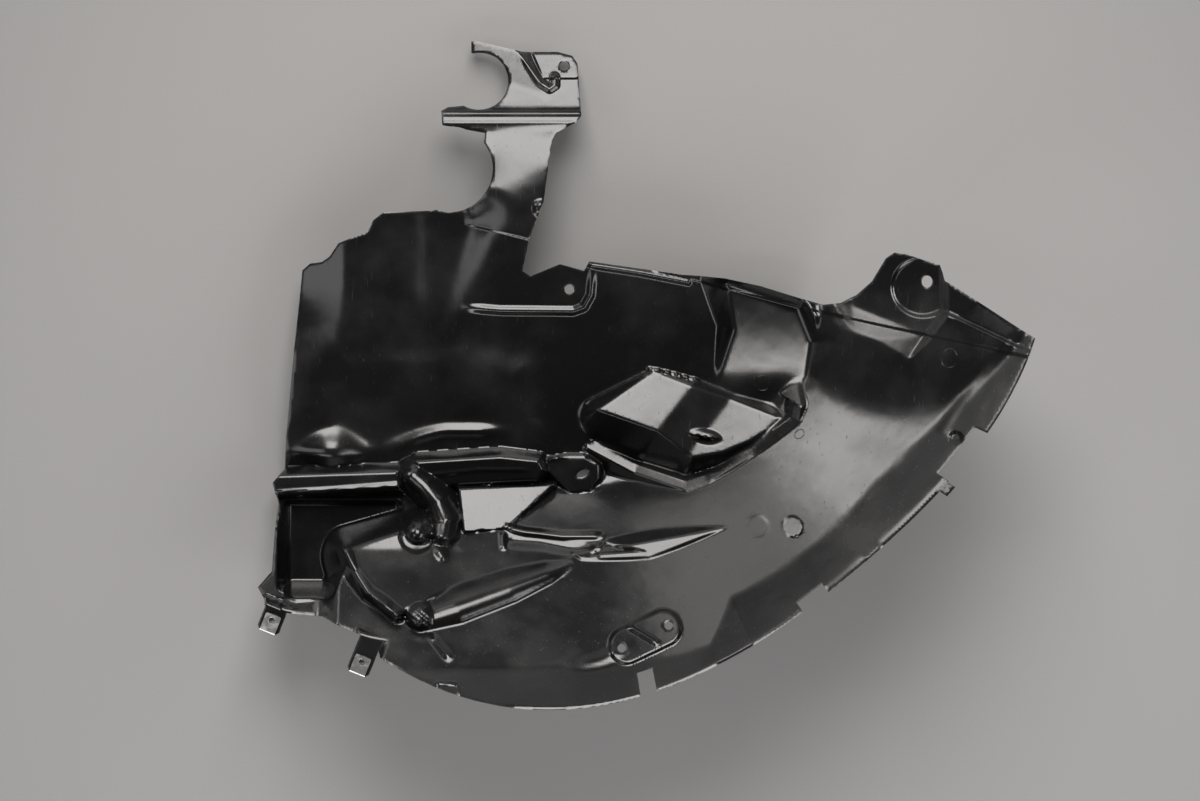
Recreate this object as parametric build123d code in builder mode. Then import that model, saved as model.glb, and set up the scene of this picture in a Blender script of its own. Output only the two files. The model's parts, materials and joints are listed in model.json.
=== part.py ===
from build123d import *
import math
import os

os.makedirs("parts", exist_ok=True)

# The liner is drawn in its arch frame: +Z is the wheel's axle, towards the wheel, and Z = 0 is the level of
# the fender lip. It is then laid down on its back, as it rests on a floor. All sizes are in millimetres.
wall = 2.5

# Outer bowl: a lip and a cone round the arch's centre, which run on straight to the left of it
hub_x, hub_y = -26.0, 130.0
arch_radius = 342.0
lip_width = 14.0
lip_depth = 22.0
cone_slope = 0.95
open_height = 90.0

# Inner panel: a leaning plane that turns away along the arm
panel_level = -150.0
panel_level_y = -50.0
panel_slope = 0.25
arm_bend_y = 135.0
arm_bend_radius = 90.0
arm_bend_angle = 42.0
arm_run = 110.0

# Left strip of the panel, folded back about a leaning line
strip_points = [(-300, -48), (-232, -48), (-178, 122), (-178, 170), (-300, 170)]
strip_fold_x, strip_fold_y = -190.0, 80.0
strip_slope = 0.32
strip_lean = 0.317
strip_draft = 30.0

# Soft shoulder left of the arm, and the soft hollow above the rail
shoulder_points = [(-300, 41), (-127, 41), (-92, 150), (-92, 180), (-300, 180)]
shoulder_slope = 0.12
hollow_points = [(-200, 37), (-128, 41), (-52, 28), (-48, -14), (-150, -22), (-208, -22)]
hollow_depth = 4.5
hollow_slope = 0.36
soft_draft, soft_reach = 54.0, 25.0

# Block that the skins are cut from, wide enough to pass the rim on every side
block_bottom = -250.0
block_width = 2 * (arch_radius + 3 * lip_width)

# Rim seen along the axle: the radius waves a little, and the curve ends at these angles
rim_wave = 12.0
rim_wave_angle = -50.0
rim_start, rim_end = -14.0, -113.0
rim_spans = 11
# Notches of the rim: how far along the rim, width, depth
rim_notches = [(0.165, 44.0, 9.0), (0.43, 24.0, 7.0), (0.665, 12.0, 16.0)]
lug_along, lug_width, lug_reach = 0.212, 9.0, 6.0

# Rest of the outline, clockwise from the rim's lower end
lower_left_points = [(-165, -176), (-206, -160), (-232, -158), (-250, -152), (-258, -140), (-246, -128),
                     (-242, -78), (-246, -62), (-238, -52)]
left_points = [(-237, -30), (-224, 98), (-209, 103), (-192, 120), (-172, 126), (-160, 141), (-127, 142), (-90, 150)]
arm_points = [(-86, 200), (-118, 206), (-118, 219), (-92, 222), (-80, 256), (-97, 262), (-97, 271), (-52, 264),
              (-26, 263), (-17, 256), (-14, 213), (-36, 198), (-42, 148), (-53, 120), (-58, 94), (-26, 102),
              (-10, 96), (-7, 104)]
top_points = [(62, 94), (121, 86), (168, 72), (190, 78), (206, 92), (217, 111), (253, 99), (254, 88)]
arm_bites = [(-112, 173, 32), (-91, 240, 22)]

# Central box: a high facet, a ramp down from it and a low facet, which all lean towards the rim
box_points = [(0, -7), (38, 22), (134, -11), (124, -22), (68, -41)]
box_step_points = [(2, -7), (39, 21), (69, 11), (44, -27)]
box_ramp_points = [(69, 11), (99, 1), (73, -37), (44, -24)]
box_rise = 12.0
box_slope_x, box_slope_y = 0.03, -0.26
box_draft = 30.0
box_step = 9.0
box_ramp_slope_x, box_ramp_slope_y = -0.22, -0.06

# Pocket above the box, with a level floor
pocket_points = [(93, 88), (88, 12), (140, -6), (156, 18), (160, 44), (150, 70)]
pocket_depth = 11.5
pocket_draft = 38.0

# Ditch along the box's foot, which rises to the right
ditch_points = [(-9, -38), (30, -52), (66, -59), (90, -57), (116, -45), (146, -18), (134, -5), (40, 0)]
ditch_rise = 8.4
ditch_slope = 0.12
ditch_draft = 41.0

# Rail across the left side, its leaning end, and the deep pocket under it
rail_y = -61.0
rail_points = [(-300, -71), (-300, -58), (-150, -53), (-150, -66)]
rail_end_points = [(-140, -66), (-140, -46), (-46, -43), (-42, -52), (-48, -60)]
rail_end_slope = 0.33
rail_rise = 24.0
rail_draft = 30.0
corner_points = [(-236, -78), (-152, -78), (-150, -92), (-166, -99), (-193, -108), (-208, -138), (-236, -138)]
corner_rise = 2.0
corner_draft = 14.0
corner_reach = 100.0

# Bulge with its round boss, the elbow between rail and boss, and the facet beside them
bulge_points = [(-186, -114), (-144, -97), (-113, -117), (-120, -156), (-150, -158), (-166, -146)]
bulge_rise = 10.0
bulge_slope = -0.55
bulge_draft = 28.0
boss_x, boss_y = -130.0, -100.0
boss_radius = 10.0
boss_height = 8.0
elbow_points = [(-136, -56), (-112, -104), (-103, -96), (-104, -76), (-126, -52)]
elbow_rise = 24.0
elbow_slope = -0.55
elbow_draft = 35.0
facet_points = [(-106, -66), (-34, -63), (-68, -94), (-102, -98)]
facet_rise = 17.0
facet_slope = -0.8
facet_draft = 30.0

# Scoop: a blunt cone that lies on the bowl
scoop_blunt_x, scoop_blunt_y = -134.0, -160.0
scoop_tip_x, scoop_tip_y = -22.0, -122.0
scoop_radius, scoop_tip_radius = 17.0, 5.0
scoop_rise = 6.0

# Crescent ridge under the central box
crescent_points = [(-62, -97), (-14, -104), (26, -107), (92, -96)]
crescent_rise = 12.0
crescent_draft = 50.0

# Recessed flat of the right-hand tab, and the joggled strip beyond it
flat_points = [(160, 72), (229, 36), (246, 68), (262, 128), (196, 128)]
flat_depth = 9.0
flat_slope_x, flat_slope_y = 0.62, -0.1
flat_draft = 20.0
joggle_points = [(255, 128), (252, 66), (308, 40), (340, 60), (300, 128)]
joggle_depth = 4.0
joggle_draft = 30.0

# Channel across the arm
channel_y = 211.0
channel_radius = 8.0
channel_rise = 4.0
channel_left_x, channel_right_x = -119.0, -12.0

# Fastener pads and holes
hole_radius = 3.6
arm_hole_x, arm_hole_y = -27.0, 252.0
panel_hole_x, panel_hole_y = -23.0, 83.0
right_hole_x, right_hole_y = 242.0, 88.0
right_hole_radius = 4.5
slot_x, slot_y = -13.0, -55.0
slot_length, slot_width = 10.0, 5.0
slot_pad_radius = 15.0
slot_pad_rise = 9.0
pad_x, pad_y = 33.0, -173.0
pad_length, pad_width = 56.0, 26.0
pad_angle = 25.0
pad_rise = 3.0
pad_hole_radius = 3.0
pad_hole_pitch = 38.0

# Lower-left fixing tabs, with a folded steel spring nut on each: where the tab leaves the outline, how far under
# the bowl's cone, and how far from there the nut sits
tab_width = 17.0
tab_angle = -112.0
tab_root, tab_reach = 4.0, 9.0
corner_tab_x, corner_tab_y, corner_tab_drop, corner_nut_seat = -240.0, -154.0, 24.2, 10.0
lower_tab_x, lower_tab_y, lower_tab_drop, lower_nut_seat = -168.0, -175.0, 0.15, 18.0
tab_hole_radius = 4.0
nut_sheet = 0.8
nut_width = 12.0
nut_length = 13.0
nut_gap = 0.15
nut_hole_radius = 2.6

# Attitude on the floor, as turns about X and then Y
lay_pitch, lay_roll = -0.86, 1.6


def panel_height(y):
    """Height of the wheel-side skin on the inner panel."""
    return panel_level + panel_slope * (y - panel_level_y)


def bowl_height(x, y):
    """Height of the wheel-side skin on the bowl's cone."""
    reach = math.hypot(max(x - hub_x, 0), hub_y - y)
    return -lip_depth - cone_slope * (arch_radius - lip_width - reach)


def slanted(x, y, z, slope_x=0.0, slope_y=0.0):
    """A plane through a point, with the rise per millimetre that it has along X and along Y."""
    return Plane(origin=(x, y, z), x_dir=(1, 0, slope_x), z_dir=(-slope_x, -slope_y, 1))


def panel_plane(x, y, rise=0.0):
    return slanted(x, y, panel_height(y) + rise, 0, panel_slope)


def cone_plane(x, y, rise=0.0):
    reach = math.hypot(max(x - hub_x, 0), hub_y - y)
    return slanted(x, y, bowl_height(x, y) + rise, cone_slope * max(x - hub_x, 0) / reach,
                   cone_slope * (y - hub_y) / reach)


def arm_plane(x, y):
    """The plane that touches the arm's bend at the given place."""
    lean = math.atan(panel_slope)
    centre_y = arm_bend_y + arm_bend_radius * math.sin(lean)
    centre_z = panel_height(arm_bend_y) - arm_bend_radius * math.cos(lean)
    turn = min(math.asin(min((y - centre_y) / arm_bend_radius, 1)), math.radians(arm_bend_angle) - lean)
    height = centre_z + arm_bend_radius * math.cos(turn)
    drop = math.tan(turn) * (y - centre_y - arm_bend_radius * math.sin(turn))
    return slanted(x, y, height - drop, 0, -math.tan(turn))


def set_on(plane, points):
    """Points given along the arch frame's X and Y, moved along its Z on to the plane."""
    normal, origin = plane.z_dir, plane.origin
    heights = [origin.Z - (normal.X * (x - origin.X) + normal.Y * (y - origin.Y)) / normal.Z for x, y in points]
    return [plane.to_local_coords(Vector(x, y, z)) for (x, y), z in zip(points, heights)]


def bowl_profile(skin, inner_reach):
    """The open side of the bowl in section: reach from the hub along X, height along Y."""
    lip_foot = arch_radius - lip_width
    rim_top = arch_radius + lip_width
    cone_bottom = block_bottom + 30
    cone_foot = lip_foot + (cone_bottom + lip_depth) / cone_slope
    with BuildSketch(Plane.XY) as profile:
        with BuildLine():
            Polyline(
                (inner_reach, open_height),
                (rim_top + 2 * lip_width, open_height),
                (rim_top, lip_depth),
                (lip_foot, -lip_depth),
                (cone_foot, cone_bottom),
                (inner_reach, cone_bottom),
                close=True,
            )
        make_face()
        if skin:
            offset(amount=skin, kind=Kind.INTERSECTION)
        if inner_reach == 0:
            with Locations((block_width, 0)):
                Rectangle(2 * block_width, 2 * block_width, mode=Mode.INTERSECT)
    return profile.sketch


def panel_profile(skin):
    """The open side of the inner panel in section: Y of the arch frame along X, height along Y."""
    start_y = -block_width
    with BuildSketch(Plane.XY) as profile:
        with BuildLine():
            run = Line((start_y, panel_height(start_y)), (arm_bend_y, panel_height(arm_bend_y)))
            bend = JernArc(run @ 1, run % 1, radius=arm_bend_radius, arc_size=-arm_bend_angle)
            tip = Line(bend @ 1, (bend @ 1) + (bend % 1) * arm_run)
            Polyline(tip @ 1, ((tip @ 1).X, open_height), (start_y, open_height), run @ 0)
        make_face()
        if skin:
            offset(amount=skin, kind=Kind.INTERSECTION)
    return profile.sketch


def open_side(skin):
    """The space on the wheel's side of the skin, grown outwards by the skin's thickness."""
    past_hub = Plane(origin=(hub_x, hub_y, 0), x_dir=(0, -1, 0), z_dir=(-1, 0, 0))
    with BuildPart() as space:
        with BuildSketch(past_hub):
            add(bowl_profile(skin, -block_width))
        extrude(amount=block_width)
        with BuildSketch(past_hub):
            add(bowl_profile(skin, 0))
        revolve(axis=Axis((hub_x, hub_y, 0), (0, 0, 1)), revolution_arc=180)
        with BuildSketch(Plane.YZ.offset(-block_width)):
            add(panel_profile(skin))
        extrude(amount=2 * block_width, mode=Mode.INTERSECT)
    return space.part


def raised(points, plane, draft, skin, reach=70.0):
    """A raised form: its flat top lies on the plane, and its sides spread below it by the draft."""
    with BuildPart() as form:
        with BuildSketch(plane.offset(-skin)):
            with BuildLine():
                Polyline(*set_on(plane, points), close=True)
            make_face()
            if skin:
                offset(amount=-skin * math.tan(math.radians(45 - draft / 2)), kind=Kind.INTERSECTION)
        extrude(amount=-reach, taper=-draft)
    return form.part


def sunk(points, plane, draft, skin, reach=70.0):
    """A sunk form: its flat floor lies on the plane, and its sides open above it by the draft."""
    with BuildPart() as form:
        with BuildSketch(plane.offset(-skin)):
            with BuildLine():
                Polyline(*set_on(plane, points), close=True)
            make_face()
            if skin:
                offset(amount=skin * math.tan(math.radians(45 - draft / 2)), kind=Kind.INTERSECTION)
        extrude(amount=reach, taper=-draft)
    return form.part


def middle(points):
    return sum(x for x, y in points) / len(points), sum(y for x, y in points) / len(points)


def sunk_forms(skin):
    """Pockets and recessed flats, cut from the material behind the skin."""
    strip_slope_y = panel_slope - strip_slope * strip_lean
    strip = slanted(strip_fold_x, strip_fold_y, panel_height(strip_fold_y), strip_slope, strip_slope_y)
    yield sunk(strip_points, strip, strip_draft, skin)
    shoulder_y = min(y for x, y in shoulder_points)
    shoulder = slanted(arm_bites[0][0], shoulder_y, panel_height(shoulder_y), 0, shoulder_slope)
    yield sunk(shoulder_points, shoulder, soft_draft, skin, soft_reach)
    hollow_x, hollow_y = middle(hollow_points)
    hollow = slanted(hollow_x, hollow_y, panel_height(hollow_y) - hollow_depth, 0, hollow_slope)
    yield sunk(hollow_points, hollow, soft_draft, skin, soft_reach)
    pocket_x, pocket_y = middle(pocket_points)
    yield sunk(pocket_points, slanted(pocket_x, pocket_y, panel_height(pocket_y) - pocket_depth), pocket_draft, skin)
    ditch_x, ditch_y = middle(ditch_points)
    yield sunk(ditch_points, slanted(ditch_x, ditch_y, panel_height(ditch_y) + ditch_rise, ditch_slope), ditch_draft,
               skin)
    yield sunk(corner_points, Plane.XY.offset(panel_height(rail_y) + corner_rise), corner_draft, skin,
               corner_reach)
    yield sunk(flat_points, flat_plane(), flat_draft, skin)
    yield sunk(joggle_points, cone_plane(*middle(joggle_points), -joggle_depth), joggle_draft, skin)


def raised_forms(skin):
    """Box, rail, bulge, elbow, facet and crescent, added to the material behind the skin."""
    box_x, box_y = middle(box_points)
    box_plane = slanted(box_x, box_y, panel_height(box_y) + box_rise, box_slope_x, box_slope_y)
    yield raised(box_points, box_plane, box_draft, skin)
    step_plane = box_plane.offset(box_step)
    yield raised(box_step_points, step_plane, box_draft, skin)
    edge_x, edge_y = box_ramp_points[0]
    edge_level = step_plane.origin.Z + box_slope_x * (edge_x - step_plane.origin.X) + box_slope_y * (
        edge_y - step_plane.origin.Y)
    ramp = slanted(edge_x, edge_y, edge_level, box_ramp_slope_x, box_ramp_slope_y)
    yield raised(box_ramp_points, ramp, box_draft, skin)
    rail_level = panel_height(rail_y) + rail_rise
    yield raised(rail_points, Plane.XY.offset(rail_level), rail_draft, skin)
    rail_end = slanted(*rail_end_points[1], rail_level, 0, rail_end_slope)
    yield raised(rail_end_points, rail_end, rail_draft, skin)
    bulge_x, bulge_y = middle(bulge_points)
    bulge_plane = slanted(bulge_x, bulge_y, bowl_height(bulge_x, bulge_y) + bulge_rise, 0, bulge_slope)
    yield raised(bulge_points, bulge_plane, bulge_draft, skin)
    elbow_x, elbow_y = middle(elbow_points)
    elbow = slanted(elbow_x, elbow_y, bowl_height(elbow_x, elbow_y) + elbow_rise, 0, elbow_slope)
    yield raised(elbow_points, elbow, elbow_draft, skin)
    facet_x, facet_y = middle(facet_points)
    facet_plane = slanted(facet_x, facet_y, bowl_height(facet_x, facet_y) + facet_rise, 0, facet_slope)
    yield raised(facet_points, facet_plane, facet_draft, skin)
    yield raised(crescent_points, cone_plane(*middle(crescent_points), crescent_rise), crescent_draft, skin, 30)


def behind_skin(skin):
    """Everything behind the wheel-side skin, with the skin set back by the given thickness."""
    with BuildPart() as body:
        with BuildSketch(Plane.XY.offset(block_bottom)):
            Rectangle(block_width, block_width)
        extrude(amount=open_height / 2 - block_bottom)
        add(open_side(skin), mode=Mode.SUBTRACT)
        for form in sunk_forms(skin):
            add(form, mode=Mode.SUBTRACT)
        for form in raised_forms(skin):
            add(form)
        # Round boss on the bulge
        with BuildSketch(Plane.XY.offset(bowl_height(boss_x, boss_y) + bulge_rise + boss_height - skin)):
            with Locations((boss_x, boss_y)):
                Circle(boss_radius - skin)
        extrude(amount=-5 * boss_height)
        # Pad round the slot
        with BuildSketch(Plane.XY.offset(panel_height(slot_y) + slot_pad_rise - skin)):
            with Locations((slot_x, slot_y)):
                Circle(slot_pad_radius - skin)
        extrude(amount=-3 * slot_pad_rise)
        # Scoop
        blunt = Vector(scoop_blunt_x, scoop_blunt_y, bowl_height(scoop_blunt_x, scoop_blunt_y) + scoop_rise)
        tip = Vector(scoop_tip_x, scoop_tip_y, bowl_height(scoop_tip_x, scoop_tip_y))
        with BuildSketch(Plane(origin=blunt + (tip - blunt).normalized() * skin, z_dir=tip - blunt)):
            Circle(scoop_radius - skin)
        with BuildSketch(Plane(origin=tip, z_dir=tip - blunt)):
            Circle(scoop_tip_radius - skin)
        loft()
        # Channel across the arm
        with BuildSketch(Plane.YZ.offset(channel_left_x)):
            with Locations((channel_y, arm_plane(channel_left_x, channel_y).origin.Z + channel_rise - channel_radius)):
                Circle(channel_radius - skin)
        extrude(amount=channel_right_x - channel_left_x)
        # Pad with two holes, near the rim
        with BuildSketch(cone_plane(pad_x, pad_y, pad_rise - skin)):
            with Locations(Location((0, 0, 0), (0, 0, pad_angle))):
                SlotOverall(pad_length, pad_width)
        extrude(amount=-2 * wall)
    return body.part


def rim_point(angle):
    reach = arch_radius - rim_wave * math.cos(math.radians(4 * (angle - rim_wave_angle)))
    return (hub_x + reach * math.cos(math.radians(angle)), hub_y + reach * math.sin(math.radians(angle)))


def outline():
    """The liner's outline seen along the axle, with its notches and the round bites of the arm."""
    turn = (rim_end - rim_start) / rim_spans
    with BuildSketch(Plane.XY) as edge:
        with BuildLine():
            rim = Spline(*[rim_point(rim_start + i * turn) for i in range(rim_spans + 1)])
            Polyline(rim @ 1, *lower_left_points, *left_points, *arm_points, *top_points, rim @ 0)
        make_face()
        for x, y, radius in arm_bites:
            with Locations((x, y)):
                Circle(radius, mode=Mode.SUBTRACT)
        for along, width, depth in rim_notches:
            heading = math.degrees(math.atan2((rim % along).Y, (rim % along).X))
            with Locations(Location(rim @ along, (0, 0, heading))):
                Rectangle(width, 2 * depth, mode=Mode.SUBTRACT)
        heading = math.degrees(math.atan2((rim % lug_along).Y, (rim % lug_along).X))
        with Locations(Location(rim @ lug_along, (0, 0, heading))):
            Rectangle(lug_width, 2 * lug_reach)
    return edge.sketch


def tab_plane(x, y, drop):
    """The top face of a fixing tab, from where it leaves the outline: local X points outwards along the tab."""
    out = Vector(math.cos(math.radians(tab_angle)), math.sin(math.radians(tab_angle)), 0)
    return Plane(origin=(x, y, bowl_height(x, y) - drop), x_dir=out, z_dir=(0, 0, 1))


def flat_plane():
    """The floor of the right-hand tab's recess, at its hole."""
    level = bowl_height(right_hole_x, right_hole_y) - flat_depth
    return slanted(right_hole_x, right_hole_y, level, flat_slope_x, flat_slope_y)


tabs = {
    "corner": (tab_plane(corner_tab_x, corner_tab_y, corner_tab_drop), corner_nut_seat),
    "lower": (tab_plane(lower_tab_x, lower_tab_y, lower_tab_drop), lower_nut_seat),
}
pad_plane = cone_plane(pad_x, pad_y, pad_rise)
drilled = [
    (arm_plane(arm_hole_x, arm_hole_y), hole_radius),
    (panel_plane(panel_hole_x, panel_hole_y), hole_radius),
    (flat_plane(), right_hole_radius),
]

with BuildPart() as shell:
    add(behind_skin(0))
    add(behind_skin(wall), mode=Mode.SUBTRACT)
    with BuildSketch(Plane.XY.offset(block_bottom)):
        add(outline())
    extrude(amount=open_height - block_bottom, mode=Mode.INTERSECT)
    # Fixing tabs
    for tab, seat in tabs.values():
        with BuildSketch(tab):
            with Locations((-tab_root, 0)):
                Rectangle(tab_root + seat + tab_reach, tab_width, align=(Align.MIN, Align.CENTER))
        extrude(amount=-wall)
        with BuildSketch(tab):
            with Locations((seat, 0)):
                Circle(tab_hole_radius)
        extrude(amount=wall, both=True, mode=Mode.SUBTRACT)
    # Round fastener holes, square to the skin
    for plane, radius in drilled:
        with BuildSketch(plane):
            Circle(radius)
        extrude(amount=2 * wall, both=True, mode=Mode.SUBTRACT)
    # Slot in its pad, and the two holes of the other pad
    with BuildSketch(Plane.XY.offset(panel_height(slot_y) + slot_pad_rise)):
        with Locations(Location((slot_x, slot_y, 0), (0, 0, pad_angle))):
            SlotOverall(slot_length, slot_width)
    extrude(amount=2 * wall, both=True, mode=Mode.SUBTRACT)
    with BuildSketch(pad_plane):
        with Locations(Location((0, 0, 0), (0, 0, pad_angle))):
            with GridLocations(pad_hole_pitch, 1, 2, 1):
                Circle(pad_hole_radius)
    extrude(amount=3 * wall, both=True, mode=Mode.SUBTRACT)


def spring_nut(tab, seat):
    """A steel clip folded round one side of a tab, with a screw hole through both leaves."""
    across = Plane(origin=tab.origin + tab.x_dir * seat, x_dir=tab.y_dir, z_dir=tab.x_dir)
    leaf = nut_gap + nut_sheet
    reach = tab_width / 2 + leaf
    with BuildPart() as nut:
        with BuildSketch(across):
            with Locations((-reach, -wall / 2)):
                Rectangle(nut_length + reach - tab_width / 2, wall + 2 * leaf, align=(Align.MIN, Align.CENTER))
            with Locations((-reach + nut_sheet, -wall / 2)):
                Rectangle(2 * nut_length, wall + 2 * nut_gap, align=(Align.MIN, Align.CENTER), mode=Mode.SUBTRACT)
        extrude(amount=nut_width / 2, both=True)
        with BuildSketch(tab):
            with Locations((seat, 0)):
                Circle(nut_hole_radius)
        extrude(amount=3 * wall, both=True, mode=Mode.SUBTRACT)
    return nut.part


# The liner is turned on to its back, and stands on the floor with its origin under the middle of its box
turn = Location((0, 0, 0), (lay_pitch, lay_roll, 0))
with BuildPart() as turned:
    with Locations(turn):
        add(shell.part)
box = turned.part.bounding_box()
place = Location((-(box.min.X + box.max.X) / 2, -(box.min.Y + box.max.Y) / 2, -box.min.Z)) * turn

pieces = {"arch_liner": shell.part}
for name, (tab, seat) in tabs.items():
    pieces["spring_nut_" + name] = spring_nut(tab, seat)

for name, piece in pieces.items():
    with BuildPart() as placed:
        with Locations(place):
            add(piece)
    placed.part.label = name
    export_step(placed.part, "parts/" + name + ".step")
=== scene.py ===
"""Front wheel arch liner in semi-gloss black plastic, with two steel spring nuts, on a grey studio floor."""

import json
import math

import bpy
import numpy as np
from mathutils import Matrix, Vector
from mathutils.geometry import delaunay_2d_cdt


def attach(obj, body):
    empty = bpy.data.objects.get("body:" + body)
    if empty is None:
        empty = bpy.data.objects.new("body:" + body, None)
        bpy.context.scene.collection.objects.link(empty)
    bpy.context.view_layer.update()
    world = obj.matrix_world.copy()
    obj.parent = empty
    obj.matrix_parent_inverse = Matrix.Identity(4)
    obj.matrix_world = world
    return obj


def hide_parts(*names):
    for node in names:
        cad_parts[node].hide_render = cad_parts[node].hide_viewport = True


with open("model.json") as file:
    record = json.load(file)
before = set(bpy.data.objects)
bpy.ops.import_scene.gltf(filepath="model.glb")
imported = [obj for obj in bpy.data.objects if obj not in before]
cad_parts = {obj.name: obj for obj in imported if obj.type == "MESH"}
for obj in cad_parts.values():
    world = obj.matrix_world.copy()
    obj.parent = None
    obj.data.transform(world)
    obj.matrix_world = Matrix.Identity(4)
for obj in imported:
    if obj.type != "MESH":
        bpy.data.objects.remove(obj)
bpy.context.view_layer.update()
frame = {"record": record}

# The liner is drawn in its arch frame, in millimetres: +Z is the wheel's axle, +Y points to the arm, and
# Z = 0 is the level of the fender lip. Then it is laid on the floor as the frame has it.
WALL = 2.5
LAY_PITCH, LAY_ROLL = -0.86, 1.6
HUB_X, HUB_Y = -26.0, 130.0
PANEL_SLOPE, PANEL_LEVEL, PANEL_FILLET = 0.25, -137.5, 8
PANEL_HOLE_X, PANEL_HOLE_Y = -23.0, 83.0
ARM_BEND_Y, ARM_BEND_RADIUS, ARM_TILT = 135.0, 90.0, 28.0
CONE_REACH, CONE_DEPTH, CONE_SLOPE = 310.0, -39.0, 0.95

# Outline, seen along the axle: the wavy arc of the rim, then the rest, from the arc's lower left end round
# to its right end
RIM_RADIUS, RIM_WAVE, RIM_WAVE_ANGLE = 341.8, 12.0, -50.0
RIM_START, RIM_END, RIM_STEPS = -14.0, -113.0, 120
LOWER_LEFT = [(-165, -176), (-206, -160), (-232, -158), (-250, -152), (-256.5, -140), (-246, -128)]
LEFT_EDGE = [(-242, -78), (-246, -62), (-238, -52), (-237, -30), (-232, 20), (-224, 98)]
SHOULDER_EDGE = [(-218, 103), (-209, 104), (-203, 108), (-196, 118), (-186, 122), (-174, 126), (-170, 135),
                 (-162, 141), (-127, 142), (-104, 146), (-90, 150)]
ARM_EDGE = [(-86, 200), (-118, 206), (-119, 217), (-114, 220), (-92, 222), (-80, 256), (-97, 262),
            (-97, 270.8), (-93, 270.8), (-60, 263), (-32, 263), (-21, 260), (-17, 254), (-14, 213),
            (-18, 208), (-33, 200), (-36, 194), (-42, 148), (-53, 120), (-58, 97), (-52, 93)]
TOP_EDGE = [(-30, 102), (-12, 97), (-8, 104), (62, 94), (94, 92), (121, 86), (150, 77), (168, 72)]
RIGHT_TAB_EDGE = [(180, 73), (192, 79), (203, 89), (213, 106), (219, 110), (226, 109), (251, 100), (254, 88)]
OUTLINE = LOWER_LEFT + LEFT_EDGE + SHOULDER_EDGE + ARM_EDGE + TOP_EDGE + RIGHT_TAB_EDGE

# Rim notches and lug: share of the rim's length, width, and depth or reach
RIM_NOTCHES = [(0.165, 44, 9), (0.43, 24, 7), (0.665, 12, 16)]
RIM_LUG = (0.212, 9, 6)
# Bites of the arm and ring marks: x, y, radius
ARM_BITES = [(-112, 173, 32), (-91, 240, 22)]
RING_MARKS = [(117, -93, 10.5), (149, -25, 4), (256, 31, 7), (122, 13, 5.5), (-131, -83, 3)]
# Dents: x, y, radius, depth. Holes: x, y, half width, half height
DENTS = [(259, -27, 5.5, 2.2), (256, 31, 7, 0.3), (117, -93, 9, 0.35)]
HOLES = [(-27, 252, 3.6, 3.6), (-23, 83, 3.6, 3.6), (242, 88, 3.8, 4.5)]
SLOT_X, SLOT_Y, SLOT_HALF_LENGTH, SLOT_HALF_WIDTH = -13, -55, 5, 2.5
PAD_X, PAD_Y, PAD_ANGLE, PAD_PITCH, PAD_HOLE = 33, -173, 25, 38, 3
# Fixing tabs: name, x, y, level, and how far along the tab its hole is
TABS = [("corner", -240, -154, -88, 10), ("lower", -168, -175, -44, 18)]
TAB_ANGLE, TAB_WIDTH, TAB_REACH, TAB_HOLE, TAB_CHAMFER = -112.0, 17.0, 9.0, 4.0, 2

# Skin mesh: its grid, the grid's corner and size, and the bends (per millimetre) that call for close vertices
GRID = 1.0
SKIN_X, SKIN_Y, SKIN_LENGTH, SKIN_WIDTH = -264.0, -234.0, 584, 512
FINE_BEND, MIDDLING_BEND = 0.28, 0.045
EDGE_ROUND, EDGE_PITCH, SHARP_ANGLE = 0.45, 1.5, 50
RING_BEAD, RING_SIDES, RING_BEAD_SIDES, RING_LIFT = 0.32, 40, 8, 0.05

# Spring nuts: how far the upper leaf reaches behind the hole, how much less the lower one does, and the
# radii of the fold and of the corners. The thread's tongue turns by an angle as it rises
NUT_SHEET, NUT_WIDTH, NUT_GAP, NUT_HOLE = 0.8, 12.0, 0.15, 2.6
NUT_BACK, NUT_BACK_SHORTER, NUT_FOLD, NUT_CORNER = 4.4, 1.5, 1.2, 1.0
THREAD_TURN, THREAD_RISE, THREAD_DEPTH = 165, 0.3, 0.45

# Finishes: linear colours of each, clean and worn, and for the floor paper, its own colour and its painted
# shade towards the far corners
CLEAN_PLASTIC, DUSTY_PLASTIC = (0.0032, 0.0032, 0.0036), (0.024, 0.023, 0.022)
BRIGHT_ZINC, DULL_ZINC = (0.52, 0.52, 0.50), (0.34, 0.34, 0.33)
# The paper's second colour is painted shade, which darkens the floor towards its far corners
NEAR_PAPER, PAINTED_SHADE_PAPER = (0.182, 0.178, 0.176), (0.064, 0.063, 0.063)

# Studio: the camera looks down the axle from a height in millimetres, and the rest is in metres
CAMERA_HEIGHT = 3420.0
LENS, SENSOR, CLIP_END = 141.75, 36.0, 50
FLOOR_SIZE = 12.0
WORLD_GLOW = (0.04, 0.04, 0.042, 1)
LIGHT_DISTANCE = 2.4
# Softboxes: name, angle off the vertical, heading from +X, width, height, glow, tint
LIGHTS = [("key_softbox", 46, 90, 1.6, 1.9, 12.0, (1.0, 0.975, 0.95)),
          ("left_softbox", 83, 140, 0.9, 0.6, 9.0, (1.0, 0.98, 0.95)),
          ("left_softbox_edge", 83, 116, 1.1, 0.6, 2.6, (1.0, 0.98, 0.95)),
          ("side_fill", 46, -168, 1.2, 1.2, 2.2, (1, 1, 1)),
          ("right_fill", 66, -25, 3.0, 1.3, 5.5, (1, 1, 1)),
          ("front_fill", 68, -100, 3.0, 1.2, 6.5, (1, 1, 1))]


def ramp(d, half):
    """max(0, d), rounded over the given half width."""
    return np.where(d > half, d, np.where(d < -half, 0.0, (d + half) ** 2 / (4 * half)))


def step(d, start, end):
    """0 up to start, 1 from end, and smooth between them."""
    t = np.clip((d - start) / (end - start), 0, 1)
    return t * t * (3 - 2 * t)


def over(a, b, blend):
    """The higher of two surfaces, with their crease filleted."""
    return np.maximum(a, b) + np.clip(blend - np.abs(a - b), 0, None) ** 2 / (4 * blend)


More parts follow.
